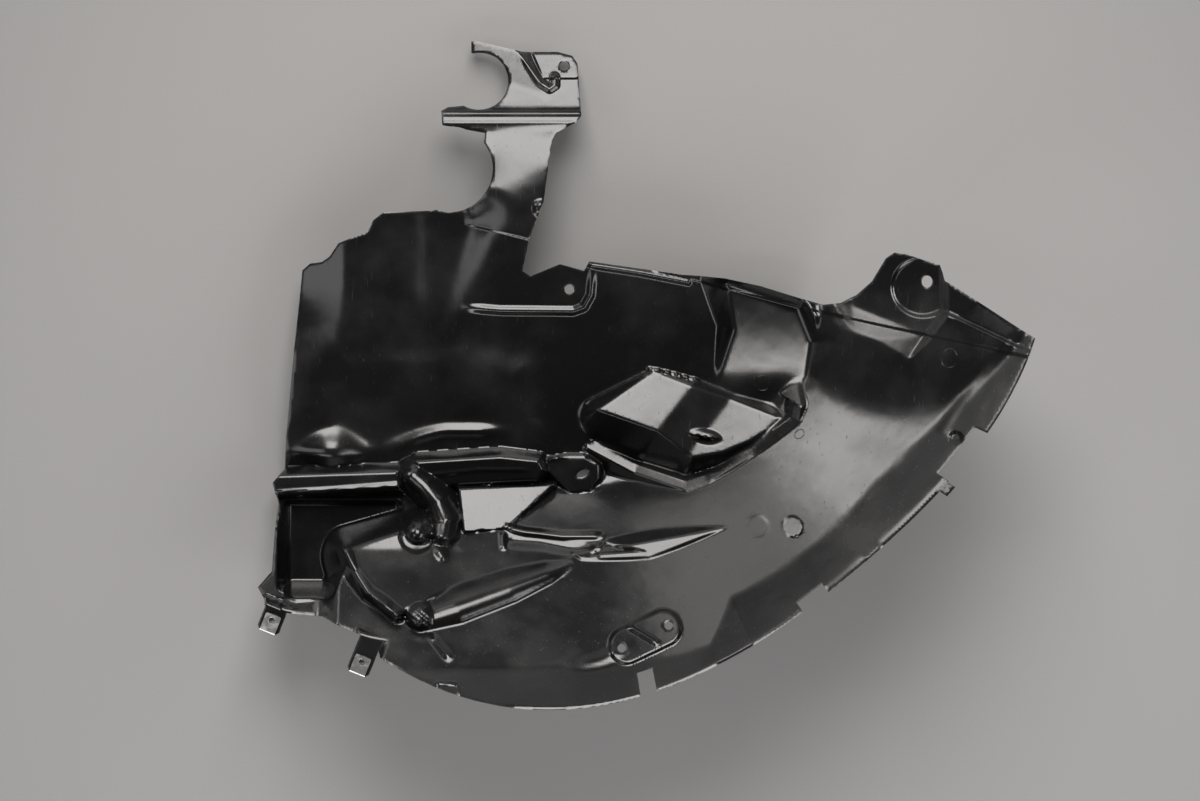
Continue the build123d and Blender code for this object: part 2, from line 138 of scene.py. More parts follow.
def under(a, b, blend):
    """The lower of two surfaces, with their edge rounded."""
    return np.minimum(a, b) - np.clip(blend - np.abs(a - b), 0, None) ** 2 / (4 * blend)


def inside(x, y, points):
    """Whether each place is inside a polygon."""
    within = np.zeros(x.shape, bool)
    for (ax, ay), (bx, by) in zip(points, points[1:] + points[:1]):
        if ay != by:
            within ^= ((ay > y) != (by > y)) & (x < (bx - ax) * (y - ay) / (by - ay) + ax)
    return within


def path_distance(x, y, points):
    """Distance to a path, and the share of the path at the nearest place."""
    best = np.full(np.shape(x), 1e12)
    share = np.zeros(np.shape(x))
    lengths = [math.dist(a, b) for a, b in zip(points, points[1:])]
    start = 0.0
    for (ax, ay), (bx, by), length in zip(points, points[1:], lengths):
        ex, ey = bx - ax, by - ay
        t = np.clip(((x - ax) * ex + (y - ay) * ey) / length ** 2, 0, 1)
        d = (x - ax - t * ex) ** 2 + (y - ay - t * ey) ** 2
        nearer = d < best
        best = np.where(nearer, d, best)
        share = np.where(nearer, (start + t * length) / sum(lengths), share)
        start += length
    return np.sqrt(best), share


def polygon_distance(x, y, points):
    """Distance to a polygon's edge, negative inside it."""
    reach, _ = path_distance(x, y, points + points[:1])
    return np.where(inside(x, y, points), -reach, reach)


def turned_to(x, y, x0, y0, angle):
    """A place as seen from a point: how far along a direction, and how far across it."""
    ux, uy = math.cos(math.radians(angle)), math.sin(math.radians(angle))
    return (x - x0) * ux + (y - y0) * uy, (y - y0) * ux - (x - x0) * uy


def turned_from(u, v, x0, y0, angle):
    """The place that is so far along a direction from a point, and so far across it."""
    ux, uy = math.cos(math.radians(angle)), math.sin(math.radians(angle))
    return x0 + u * ux - v * uy, y0 + u * uy + v * ux


def plane(x0, y0, z0, slope_x, slope_y):
    """A flat surface through a point."""
    return lambda x, y: z0 + slope_x * (x - x0) + slope_y * (y - y0)


def raise_form(h, x, y, points, top, slope, edge=2.0, blend=3.0):
    """A form that stands out of the surface: a top inside the polygon, and sides that fall away from it."""
    d = polygon_distance(x, y, points)
    return over(h, top(x, y) - slope * ramp(d, edge), blend)


def sink_form(h, x, y, points, floor, slope, foot=2.0, blend=3.0):
    """A hollow in the surface: a floor inside the polygon, and sides that rise away from it."""
    d = polygon_distance(x, y, points)
    return under(h, floor(x, y) + slope * ramp(d, foot), blend)


def bead(h, x, y, path, width, rise, fade=0.0):
    """A rounded bead or groove along a path, on whatever surface it crosses."""
    d, share = path_distance(x, y, path)
    ends = np.clip(np.minimum(share, 1 - share) / fade, 0, 1) if fade else 1.0
    return h + rise * ends * step(width / 2 - d, 0, width / 2)


def panel_height(y):
    """Level of the flat inner panel."""
    return PANEL_LEVEL + PANEL_SLOPE * y


def reach_of(x, y):
    """Distance from the axle, or from the line that goes straight on to the left of it."""
    return np.where(x > HUB_X, np.hypot(x - HUB_X, HUB_Y - y), HUB_Y - y)


def bowl_height(x, y):
    """Level of the bowl's cone."""
    return CONE_DEPTH - CONE_SLOPE * (CONE_REACH - reach_of(x, y))


def arm_panel(x, y):
    """The inner panel, which bends down along the arm."""
    lean = math.atan(PANEL_SLOPE)
    tilt = math.radians(ARM_TILT)
    centre_y = ARM_BEND_Y + ARM_BEND_RADIUS * math.sin(lean)
    centre_z = panel_height(ARM_BEND_Y) - ARM_BEND_RADIUS * math.cos(lean)
    end_y = centre_y + ARM_BEND_RADIUS * math.sin(tilt)
    on_bend = np.clip(y, ARM_BEND_Y, end_y)
    bend = centre_z + np.sqrt(ARM_BEND_RADIUS ** 2 - (on_bend - centre_y) ** 2)
    return np.where(y < ARM_BEND_Y, panel_height(y), bend - math.tan(tilt) * np.clip(y - end_y, 0, None))


def rim_reach(angle):
    """The rim's wavy radius about the axle."""
    return RIM_RADIUS - RIM_WAVE * np.cos(np.radians(4 * (angle - RIM_WAVE_ANGLE)))


def bowl_skin(x, y):
    """The bowl: a cone, the steeper flange outside it, the rise to the right-hand tab, and the rim's lip."""
    angle = np.degrees(np.arctan2(y - HUB_Y, np.maximum(x - HUB_X, 0.001)))
    reach = reach_of(x, y)
    fold = np.interp(angle, [-113, -71, -66, -40, -33, -24, -12], [326, 326, 300, 296, 302, 315, 348])
    bowl = bowl_height(x, y) + 0.4 * ramp(reach - fold, 2.5)
    inward = 0.8 * (y + 12 - 0.0071 * (x - 215) ** 2)
    bowl = bowl + 0.24 * np.minimum(ramp(inward, 9), 46) * step(x, 150, 176)
    lip = np.interp(angle, [-60, -57, -48.5, -48, -46, -45.5, -34, -32],
                    [1.7, 4.5, 4.5, 1.7, 1.7, 4.5, 4.5, 1.7])
    lip_slope = np.interp(angle, [-75, -60], [0.8, 0.4])
    return bowl - lip_slope * ramp(reach - rim_reach(angle) + lip, 0.6) * (angle > RIM_END)


def panel_skin(x, y):
    """The inner panel: its shoulder, soft hollow, brow and fallen right end, and the strip folded back."""
    twist = 0.55 * np.clip(x + 52, -28, 25) * step(y, 122, 150) * (1 - step(y, 156, 216))
    panel = arm_panel(x, y - twist)
    shoulder = [(-300, 41), (-127, 41), (-117, 66), (-106, 102), (-100, 126), (-97, 134), (-150, 175),
                (-300, 175)]
    panel = sink_form(panel, x, y, shoulder, plane(0, 41, -127.3, 0, 0.12), slope=0.46, foot=8, blend=5)
    panel = panel - 3.2 * step(-x, 123, 145) * step(y, 45, 85)
    hollow = [(-195, 34), (-137, 36), (-94, 34), (-58, 24), (-56, -12), (-70, -16), (-150, -20), (-203, -20)]
    panel = sink_form(panel, x, y, hollow, plane(0, 38, -130, 0, 0.33), slope=0.42, foot=12, blend=6)
    spot = np.exp(-((x + 203) / 20) ** 2)
    long_ridge = step(x, -172, -135) * (1 - step(x, -95, -62))
    brow_y = -38 + 15 * step(x, -178, -112)
    brow_width = 3.4 + 6.6 * spot
    panel = panel + (12.5 * spot + 3.6 * long_ridge) * np.exp(-((y - brow_y) / brow_width) ** 2 / 2)
    panel = panel - 0.8 * ramp(x - 152, 4)
    crest = (x - 99) * 0.459 + (y - 81) * 0.888
    fallen = under(panel, panel_height(y - crest) + 4 - 0.7 * ramp(crest, 2), 1.5)
    panel = np.where(x > 80, fallen, panel)
    past_fold = -192 - 0.0055 * np.clip(70 - y, 0, None) ** 2 - x
    return panel - (0.12 + 0.26 * step(y, 10, 100)) * ramp(past_fold, 4)


def upper_pocket(h, x, y):
    """The pocket above the box."""
    mouth = [(95, 88), (100, 54), (90, 24), (86, 12), (140, -6), (156, 18), (160, 44), (150, 70)]
    return sink_form(h, x, y, mouth, lambda x, y: -139.5 - 0.22 * (y - 40) + 0.0015 * (y - 30) ** 2,
                     slope=1.6, foot=4, blend=4)


def ditch_and_box(h, x, y):
    """The box with its three facets, torn top edge and small lens, in a ditch with a flat ledge along it."""
    rim_line = [(-10, -36), (26, -55), (64, -68), (82, -62), (116, -41), (149, -17), (151, -5)]
    beyond, _ = path_distance(x, y, rim_line)
    inner = np.where(inside(x, y, rim_line + [(130, 8), (30, 40), (-12, 10)]), beyond, -beyond)
    crest = np.interp(x, [-12, 26, 64, 82, 116, 150], [-144, -141, -126, -123.5, -121.5, -116])
    h = over(h, crest - 0.45 * ramp(inner, 1) - 2.2 * ramp(inner - 8, 1.5) - 0.9 * ramp(-inner, 1), 1.5)
    ditch_line = [(-4, -29), (28, -41), (64, -51), (86, -47), (113, -34), (142, -14)]
    ditch, share = path_distance(x, y, ditch_line)
    h = under(h, -152 + 20 * share + 22 * step(share, 0.5, 1) + 2.2 * ramp(ditch, 5), 3)
    box = [(-2, -7), (40, 22), (69, 11), (99, 1), (135, -13), (126, -22), (112, -31), (92, -39), (69, -43),
           (43, -23)]
    top = plane(64, -12, -119, 0.03, -0.26)
    across = (x - 69) * 0.789 - (y - 11) * 0.614
    fallen = 0.32 * (ramp(across, 1.5) - ramp(across - 29, 1.5))
    h = raise_form(h, x, y, box, lambda x, y: top(x, y) - fallen, slope=1.4, edge=1.6, blend=5)
    torn = 1.6 + 0.8 * np.sin(0.9 * x) + 0.6 * np.sin(2.3 * x + 1)
    h = bead(h, x, y, [(37, 24), (52, 21), (74, 15)], width=4, rise=torn)
    lens_u = (x - 79) * 0.985 - (y + 27) * 0.174
    lens_v = (y + 27) * 0.985 + (x - 79) * 0.174
    lens = ramp(1 - (lens_u / 13) ** 2 - (lens_v / 6) ** 2, 0.1)
    return h + 3.5 * lens * step(lens_v, -1, 0.5) - 4 * lens * step(-lens_v, 0, 1.5)


def rail(h, x, y):
    """The rail across the left side, in two runs with their flutes, and the saddle between them."""
    left_run = [(-300, -58), (-152, -53), (-150, -66), (-300, -71)]
    h = raise_form(h, x, y, left_run, plane(0, 0, -128.7, 0, 0), slope=3.5)
    right_run = [(-138, -46), (-75, -42), (-46, -45), (-42, -52), (-48, -60), (-136, -66)]
    h = raise_form(h, x, y, right_run, plane(0, -44, -127, 0, 0.33), slope=3.5)
    h = bead(h, x, y, [(-246, -70), (-200, -67.5), (-150, -63.5)], width=7, rise=1.8)
    h = bead(h, x, y, [(-136, -57), (-90, -52), (-50, -52)], width=5, rise=1.0, fade=0.1)
    return bead(h, x, y, [(-143, -46), (-141, -56), (-138, -68)], width=9, rise=4.0)


def deep_pocket(h, x, y):
    """The deep pocket under the rail, inside a narrow lip."""
    h = np.where(x < -236, under(h, -118 + 0.2 * (x + 236), 2), h)
    h = under(h, -104 - 0.9 * (y + 140) + 2 * ramp(x + 208, 4) + 9 * ramp(y + 128, 3), 3)
    mouth = [(-236, -77), (-152, -77), (-150, -92), (-166, -99), (-193, -108), (-208, -138), (-236, -138)]
    h = sink_form(h, x, y, mouth, plane(0, 0, -150.7, 0, 0), slope=6, foot=3, blend=6)
    foot = [(-237, -144), (-226, -147), (-213, -146), (-209, -141)]
    return bead(h, x, y, foot, width=7, rise=1.6, fade=0.3)


def bulge(h, x, y):
    """The bright facet, the bulge with its swollen border, the ridge down from the rail, and the boss."""
    facet = [(-106, -66), (-34, -63), (-70, -96), (-102, -98)]
    h = raise_form(h, x, y, facet, plane(-68, -95, -118, -0.12, -0.50), slope=4, edge=1.0, blend=1.5)
    bulge_plan = [(-190, -111), (-150, -98), (-98, -112), (-100, -136), (-150, -158), (-170, -142)]
    h = raise_form(h, x, y, bulge_plan,
                   lambda x, y: -94 - 0.42 * (y + 110) + 0.53 * ramp(-110 - y, 3) - 0.5 * ramp(x + 130, 9),
                   slope=3.0, edge=2.5, blend=4)
    border = [(-190, -110), (-184, -128), (-172, -142), (-158, -151), (-149, -158)]
    h = bead(h, x, y, border, width=15, rise=7.0)
    h = bead(h, x, y, [(-163, -147), (-158, -151)], width=14, rise=2.0)
    ridge_line = [(-140, -58), (-132, -65), (-122, -77), (-116, -90), (-118, -101)]
    ridge, share = path_distance(x, y, ridge_line)
    h = over(h, -121 + 27 * share ** 1.5 - ridge ** 2 / 9, 3)
    boss = np.hypot(x + 136, y + 100)
    h = h - 3 * step(15 - boss, 0, 4)
    h = over(h, -92 - boss ** 2 / 9, 1.0)
    return bead(h, x, y, [(-119, -112), (-117, -115)], width=12, rise=4.0)


def scoop(h, x, y):
    """The scoop, a blunt cone that lies on the bowl, with a rippled knob at its foot and a short rib."""
    foot_x, foot_y, run_x, run_y = -134, -160, 112, 38
    along = ((x - foot_x) * run_x + (y - foot_y) * run_y) / (run_x ** 2 + run_y ** 2)
    side = ((y - foot_y) * run_x - (x - foot_x) * run_y) / math.hypot(run_x, run_y)
    radius = np.interp(along, [0, 0.25, 0.6, 0.85, 1], [13, 16.5, 15, 11, 6])
    beyond = 118 * np.maximum(np.maximum(-along, along - 1), 0)
    swell = 1 - (side / radius) ** 2 - 2.2 * (beyond / radius) ** 2
    h = over(h, bowl_height(x, y) - 6 + radius * 1.1 * swell, 3)
    knob = np.hypot(x + 132, y + 160)
    ripple = 0.7 * np.sin(1.1 * x) * np.sin(1.3 * y + 0.5)
    h = over(h, bowl_height(-132, -160) + 17 - knob ** 2 / 15 - (knob / 11) ** 4 * 6 + ripple, 2)
    return bead(h, x, y, [(-124, -171), (-108, -190)], width=9, rise=2.2, fade=0.2)


def crescent(h, x, y):
    """The notched crescent ridge under the box, and the bead and groove that lead to it."""
    ridge = [(-14, -119), (37, -117), (96, -94), (60, -101), (20, -108), (-20, -114)]
    top = plane(20, -112, bowl_height(20, -112) + 4.8, 0.14, -0.4)
    h = raise_form(h, x, y, ridge, top, slope=1.5, edge=1.5, blend=1.5)
    h = bead(h, x, y, [(-74, -94), (-56, -98), (-28, -101), (4, -101)], width=8, rise=3.0, fade=0.1)
    h = bead(h, x, y, [(-72, -104), (-45, -106), (-24, -110), (0, -113)], width=13, rise=-2.6, fade=0.1)
    h = bead(h, x, y, [(-73, -97), (-72, -112)], width=7, rise=2.0, fade=0.2)
    notch = polygon_distance(x, y, [(-8, -115), (4, -105), (33, -112)])
    return h - 3.5 * step(-notch, -1, 3)


def right_tab(h, x, y):
    """The recessed flat of the right-hand tab, the round hollow at its hole, and the joggled strip beyond."""
    below = -0.413 * (x - 189) - 0.91 * (y - 70)
    right = np.maximum(0.838 * (x - 239) - 0.546 * (y - 47), x - 251)
    depth = 6 + 3 * step(x, 200, 262)
    h = h - ramp(depth - 0.38 * ramp(below, 1.5) - 1.8 * ramp(right, 1) - 0.4 * ramp(188 - x, 3), 0.8)
    disc = np.hypot(x - 239, y - 84)
    h = h - ramp(3 - 1.3 * ramp(disc - 20.5, 0.8), 0.6) * (1 - step(right, 0, 2))
    joggle = polygon_distance(x, y, [(255, 128), (254, 66), (320, 32), (340, 60), (300, 128)])
    return h - ramp(4 - 1.6 * ramp(joggle, 1.2), 0.8)


def bowl_marks(h, x, y):
    """The bowl's dents, its tilted disc, and the bend of the rim's right end."""
    for dent_x, dent_y, radius, depth in DENTS:
        h = h - depth * step(radius - np.hypot(x - dent_x, y - dent_y), 0, 3)
    h = h + (1.0 + 0.2 * (x - 142)) * step(8 - np.hypot(x - 142, y + 93), 0, 1)
    return bead(h, x, y, [(312, 57), (286, 26), (262, -3), (250, -22)], width=9, rise=0.7)


def arm_forms(h, x, y):
    """The arm's channel with its flutes, its wart and step, and the raised tab, prong and rib at its end."""
    h = over(h, arm_panel(x, y) + 2.0 - (y - 211) ** 2 / 28, 1.5)
    for flute in (208, 212, 216):
        h = bead(h, x, y, [(-122, flute), (-12, flute)], width=4, rise=0.5)
    h = h + 4 * step(8 - np.hypot(x + 44, y - 143), 0, 6)
    above = y - 125.5 + 0.245 * (x + 75)
    h = h + 1.3 * step(above, -0.6, 0.7) * step(x, -102, -96) * (1 - step(y, 142, 172))
    end_tab = polygon_distance(x, y, [(-54, 268), (-43, 242), (-12, 242), (-12, 268)])
    h = h + 1.6 * step(-end_tab, -0.8, 1.2)
    prong = 0.94 * (y - 236) + 0.33 * (x + 62)
    h = h + 0.38 * ramp(prong, 2) * (1 - step(x - 0.6 * (252 - y), -56, -50))
    rib = [(-59, 268), (-53, 253), (-45, 240), (-38, 234), (-34, 237), (-34, 243)]
    return bead(h, x, y, rib, width=9, rise=3.6)


def top_ribs(h, x, y):
    """The rib under the panel's tab, which turns up to the rolled top edge."""
    rib = [(-104, 70), (-75, 67.5), (-20, 67), (-12, 70), (-7, 79), (-5, 102)]
    h = bead(h, x, y, rib, width=9, rise=3.0, fade=0.12)
    return bead(h, x, y, [(-6, 101), (30, 95.5), (66, 88.5)], width=7, rise=2.6)


def pads(h, x, y):
    """The slot's pad with its rib, the oval pad with its ribs, and the small loop at the rim."""
    slot_plan = [(-43, -47), (-21, -67), (-9, -66), (-3, -58), (-4, -50), (-12, -45), (-24, -45)]
    slot_pad = polygon_distance(x, y, slot_plan)
    h = over(h, panel_height(SLOT_Y) + 9 - 2.0 * ramp(slot_pad - 2, 1.0), 2)
    slot_rib = [(-42, -45), (-24, -41), (-10, -41), (0, -48), (2, -60)]
    h = bead(h, x, y, slot_rib, width=5, rise=2.2, fade=0.1)
    u, v = turned_to(x, y, PAD_X, PAD_Y, PAD_ANGLE)
    oval_pad = np.hypot(np.clip(np.abs(u) - 15, 0, None), v)
    h = h + 3 * (1 - step(oval_pad, 11, 14))
    h = bead(h, x, y, [(20, -165), (43, -178)], width=6, rise=2.4, fade=0.15)
    h = bead(h, x, y, [(26, -177), (0, -189), (-26, -195)], width=14, rise=1.6, fade=0.3)
    return bead(h, x, y, [(-123, -209.5), (-117, -205), (-104, -206), (-102, -212)], width=2.6, rise=1.4)


def fixing_tabs(h, x, y):
    """The two tabs for the spring nuts at the lower left, each flat at its own level."""
    for _, tab_x, tab_y, level, seat in TABS:
        u, v = turned_to(x, y, tab_x, tab_y, TAB_ANGLE)
        d = np.maximum(np.abs(v) - TAB_WIDTH / 2, np.maximum(-u, u - seat - TAB_REACH))
        h = h + (level - h) * (1 - step(d, 0, 5))
    return h


def skin_height(x, y):
    """Height of the wheel-side skin."""
    h = over(bowl_skin(x, y), panel_skin(x, y), PANEL_FILLET)
    for form in (upper_pocket, ditch_and_box, rail, deep_pocket, bulge, scoop, crescent, right_tab,
                 bowl_marks, arm_forms, top_ribs, pads, fixing_tabs):
        h = form(h, x, y)
    return h


def rim_place(along, out=0.0):
    """A point of the rim, at a share of its length, moved outwards."""
    angle = RIM_START + along * (RIM_END - RIM_START)
    reach = rim_reach(angle) + out
    return HUB_X + reach * math.cos(math.radians(angle)), HUB_Y + reach * math.sin(math.radians(angle))


def rim_patch(along, width, low, high):
    """A four-sided patch across the rim, at a share of its length."""
    half = width / 2 / (math.radians(RIM_START - RIM_END) * RIM_RADIUS)
    return [rim_place(along - half, low), rim_place(along + half, low), rim_place(along + half, high),
            rim_place(along - half, high)]


def spaced(points, pitch=EDGE_PITCH):
    """A closed loop of points, with more set between them at about the pitch."""
    loop = []
    for a, b in zip(points, points[1:] + points[:1]):
        count = max(1, round(math.dist(a, b) / pitch))
        loop += [(a[0] + (b[0] - a[0]) * i / count, a[1] + (b[1] - a[1]) * i / count) for i in range(count)]
    return loop


def oval(x, y, rx, ry, count):
    """A closed loop of points round an oval."""
    return [(x + rx * math.cos(2 * math.pi * i / count), y + ry * math.sin(2 * math.pi * i / count))
            for i in range(count)]


def plan_loops():
    """The liner's plan: loops that hold plastic, and loops that cut it away."""
    solid = [[rim_place(i / RIM_STEPS) for i in range(RIM_STEPS + 1)] + OUTLINE]
    cut = [oval(x, y, r, r, 96) for x, y, r in ARM_BITES]
    cut += [rim_patch(along, width, -depth, 9) for along, width, depth in RIM_NOTCHES]
    along, width, out = RIM_LUG
    solid.append(rim_patch(along, width, -5, out))
    for _, x, y, _, seat in TABS:
        far, side, c = seat + TAB_REACH, TAB_WIDTH / 2, TAB_CHAMFER
        corners = [(-6, -side), (far - c, -side), (far, -side + c), (far, side - c), (far - c, side),
                   (-6, side)]
        solid.append([turned_from(u, v, x, y, TAB_ANGLE) for u, v in corners])
        cut.append(oval(*turned_from(seat, 0, x, y, TAB_ANGLE), TAB_HOLE, TAB_HOLE, 24))
    cut += [oval(*hole, 28) for hole in HOLES]
    for side in (-1, 1):
        place = turned_from(side * PAD_PITCH / 2, 0, PAD_X, PAD_Y, PAD_ANGLE)
        cut.append(oval(*place, PAD_HOLE, PAD_HOLE, 20))
    slot = oval(0, 0, SLOT_HALF_LENGTH, SLOT_HALF_WIDTH, 24)
    cut.append([turned_from(u, v, SLOT_X, SLOT_Y, PAD_ANGLE) for u, v in slot])
    return solid, cut


def in_plan(x, y, solid, cut):
    """Whether each place is plastic in the plan."""
    within = np.zeros(x.shape, bool)
    for loop in solid:
        within |= inside(x, y, loop)
    for loop in cut:
        within &= ~inside(x, y, loop)
    return within


def widened(mask, cells):
    """A mask grown by a number of grid cells."""
    grown = mask.copy()
    for _ in range(cells):
        wide = grown.copy()
        wide[1:] |= grown[:-1]
        wide[:-1] |= grown[1:]
        wide[:, 1:] |= grown[:, :-1]
        wide[:, :-1] |= grown[:, 1:]
        grown = wide
    return grown


def plan_points(h, within):
    """Places for the skin's vertices: close together where it bends sharply or ends, and elsewhere apart."""
    bend = np.zeros(h.shape)
    bend[1:-1, 1:-1] = np.maximum(np.abs(h[2:, 1:-1] - 2 * h[1:-1, 1:-1] + h[:-2, 1:-1]),
                                  np.abs(h[1:-1, 2:] - 2 * h[1:-1, 1:-1] + h[1:-1, :-2])) / GRID ** 2
    edge = within & widened(~within, 2)
    fine = widened(bend > FINE_BEND, 1) | edge
    middling = widened(fine, 2) | widened(bend > MIDDLING_BEND, 2)
    i, j = np.indices(h.shape)
    chosen = fine | (middling & (i % 2 == 0) & (j % 2 == 0)) | ((i % 4 == 0) & (j % 4 == 0))
    return chosen & within & ~widened(~within, 1)


def back_of(h):
    """The far skin: the wheel-side skin set back by the wall, square to itself."""
    back = np.full(h.shape, 1e9)
    cells = int(WALL / GRID)
    for di in range(-cells, cells + 1):
        for dj in range(-cells, cells + 1):
            gap = (di * di + dj * dj) * GRID ** 2
            if gap < WALL ** 2:
                drop = math.sqrt(WALL ** 2 - gap)
                back = np.minimum(back, np.roll(h, (di, dj), (0, 1)) - drop)
    return back


def sampled(values, x, y):
    """Grid values read between the grid's places."""
    fi, fj = (y - SKIN_Y) / GRID, (x - SKIN_X) / GRID
    i, j = np.clip(fi.astype(int), 0, values.shape[0] - 2), np.clip(fj.astype(int), 0, values.shape[1] - 2)
    ti, tj = fi - i, fj - j
    return ((values[i, j] * (1 - ti) + values[i + 1, j] * ti) * (1 - tj)
            + (values[i, j + 1] * (1 - ti) + values[i + 1, j + 1] * ti) * tj)


lay = Matrix.Rotation(math.radians(LAY_PITCH), 3, "X") @ Matrix.Rotation(math.radians(LAY_ROLL), 3, "Y")
hole_axis = Vector((0, -PANEL_SLOPE, 1)).normalized()
hole_middle = Vector((PANEL_HOLE_X, PANEL_HOLE_Y, panel_height(PANEL_HOLE_Y))) - hole_axis * WALL / 2
hole_mount = next(m for m in frame["record"]["mounts"] if m["name"] == "panel_hole")
shift = Vector(hole_mount["pos_m"]) * 1000 - lay @ hole_middle


def laid(points):
    """Points of the arch frame, in millimetres, moved to the row frame, in metres."""
    turn = np.array(lay)
    return (np.asarray(points, float) @ turn.T + np.array(shift)) / 1000


def looped_edges(points, loops):
    """Adds loops to a list of points, and gives the edges round them."""
    edges = []
    for loop in loops:
        first = len(points)
        points += [Vector(p) for p in loop]
        edges += [(first + i, first + (i + 1) % len(loop)) for i in range(len(loop))]
    return edges


def plan_mesh(x, y, h):
    """The plan as triangles that face up: the places of their corners, and the triangles."""
    solid, cut = plan_loops()
    chosen = plan_points(h, in_plan(x, y, solid, cut))
    points = [Vector(p) for p in zip(x[chosen].tolist(), y[chosen].tolist())]
    edges = looped_edges(points, [spaced(loop) for loop in solid + cut])
    points, _, faces, *_ = delaunay_2d_cdt(points, edges, [], 0, 0.01, False)
    flat = np.array([tuple(p) for p in points])
    faces = np.array(faces)
    centre = flat[faces].mean(1)
    a, b, c = (flat[faces[:, i]] for i in range(3))
    turned = (b[:, 0] - a[:, 0]) * (c[:, 1] - a[:, 1]) - (b[:, 1] - a[:, 1]) * (c[:, 0] - a[:, 0])
    faces[turned < 0] = faces[turned < 0][:, ::-1]
    faces = faces[in_plan(centre[:, 0], centre[:, 1], solid, cut) & (np.abs(turned) > 1e-4)]
    used, faces = np.unique(faces, return_inverse=True)
    return flat[used], faces.reshape(-1, 3)


def border_of(faces, count):
    """The directed edges that belong to one triangle only."""
    ways = np.concatenate([faces[:, [0, 1]], faces[:, [1, 2]], faces[:, [2, 0]]])
    key = np.sort(ways, 1) @ np.array([count, 1])
    _, index, uses = np.unique(key, return_index=True, return_counts=True)
    return ways[index[uses == 1]]


def make_liner():
    """The liner's skin on both sides, with a rounded edge between them."""
    x, y = np.meshgrid(SKIN_X + GRID * np.arange(int(SKIN_LENGTH / GRID)),
                       SKIN_Y + GRID * np.arange(int(SKIN_WIDTH / GRID)))
    h = skin_height(x, y)
    flat, faces = plan_mesh(x, y, h)
    count = len(flat)
    border = border_of(faces, count)
    on_border = np.zeros(count, bool)
    on_border[border] = True
    top = skin_height(flat[:, 0], flat[:, 1]) - EDGE_ROUND * on_border
    low = sampled(back_of(h), flat[:, 0], flat[:, 1]) + EDGE_ROUND * on_border
    vertices = np.concatenate([np.column_stack([flat, top]), np.column_stack([flat, low])])
    walls = np.column_stack([border[:, 0], border[:, 0] + count, border[:, 1] + count, border[:, 1]])
    mesh = bpy.data.meshes.new("arch_liner_skin")
    mesh.from_pydata(laid(vertices).tolist(), [],
                     faces.tolist() + (faces[:, ::-1] + count).tolist() + walls.tolist())
    mesh.validate()
    mesh.shade_smooth()
    mesh.set_sharp_from_angle(angle=math.radians(SHARP_ANGLE))
    rim = mesh.attributes.new("rim", "FLOAT", "POINT")
    rim.data.foreach_set("value", np.tile(on_border, 2).astype(np.float32))
    return new_piece("liner_moulding", mesh)


def new_piece(name, mesh):
    """An object for a mesh, in the scene and at the origin."""
    piece = bpy.data.objects.new(name, mesh)
    bpy.context.scene.collection.objects.link(piece)
    return piece


def ring_tree(material):
    """A ring for each point of a mesh, lying on the surface there: the marks that the mould's pins leave."""
    tree = bpy.data.node_groups.new("mould_pin_rings", "GeometryNodeTree")
    tree.interface.new_socket("Geometry", in_out="INPUT", socket_type="NodeSocketGeometry")
    tree.interface.new_socket("Bead radius", in_out="INPUT", socket_type="NodeSocketFloat")
    tree.interface.new_socket("Sides", in_out="INPUT", socket_type="NodeSocketInt")
    tree.interface.new_socket("Geometry", in_out="OUTPUT", socket_type="NodeSocketGeometry")
    nodes, link = tree.nodes, tree.links.new
    start, end = nodes.new("NodeGroupInput"), nodes.new("NodeGroupOutput")
    circle = nodes.new("GeometryNodeCurvePrimitiveCircle")
    circle.inputs["Radius"].default_value = 1.0
    radius = nodes.new("GeometryNodeInputNamedAttribute")
    radius.data_type = "FLOAT"
    radius.inputs["Name"].default_value = "ring_radius"
    normal = nodes.new("GeometryNodeInputNamedAttribute")
    normal.data_type = "FLOAT_VECTOR"
    normal.inputs["Name"].default_value = "skin_normal"
    turn = nodes.new("FunctionNodeAlignRotationToVector")
    turn.axis = "Z"
    place = nodes.new("GeometryNodeInstanceOnPoints")
    realize = nodes.new("GeometryNodeRealizeInstances")
    profile = nodes.new("GeometryNodeCurvePrimitiveCircle")
    profile.inputs["Resolution"].default_value = RING_BEAD_SIDES
    sweep = nodes.new("GeometryNodeCurveToMesh")
    smooth = nodes.new("GeometryNodeSetShadeSmooth")
    finish = nodes.new("GeometryNodeSetMaterial")
    finish.inputs["Material"].default_value = material
    link(start.outputs["Sides"], circle.inputs["Resolution"])
    link(start.outputs["Geometry"], place.inputs["Points"])
    link(circle.outputs["Curve"], place.inputs["Instance"])
    link(normal.outputs["Attribute"], turn.inputs["Vector"])
    link(turn.outputs["Rotation"], place.inputs["Rotation"])
    link(radius.outputs["Attribute"], place.inputs["Scale"])
    link(place.outputs["Instances"], realize.inputs["Geometry"])
    link(start.outputs["Bead radius"], profile.inputs["Radius"])
    link(realize.outputs["Geometry"], sweep.inputs["Curve"])
    link(profile.outputs["Curve"], sweep.inputs["Profile Curve"])
    link(sweep.outputs["Mesh"], smooth.inputs["Geometry"])
    link(smooth.outputs["Geometry"], finish.inputs["Geometry"])
    link(finish.outputs["Geometry"], end.inputs["Geometry"])
    return tree


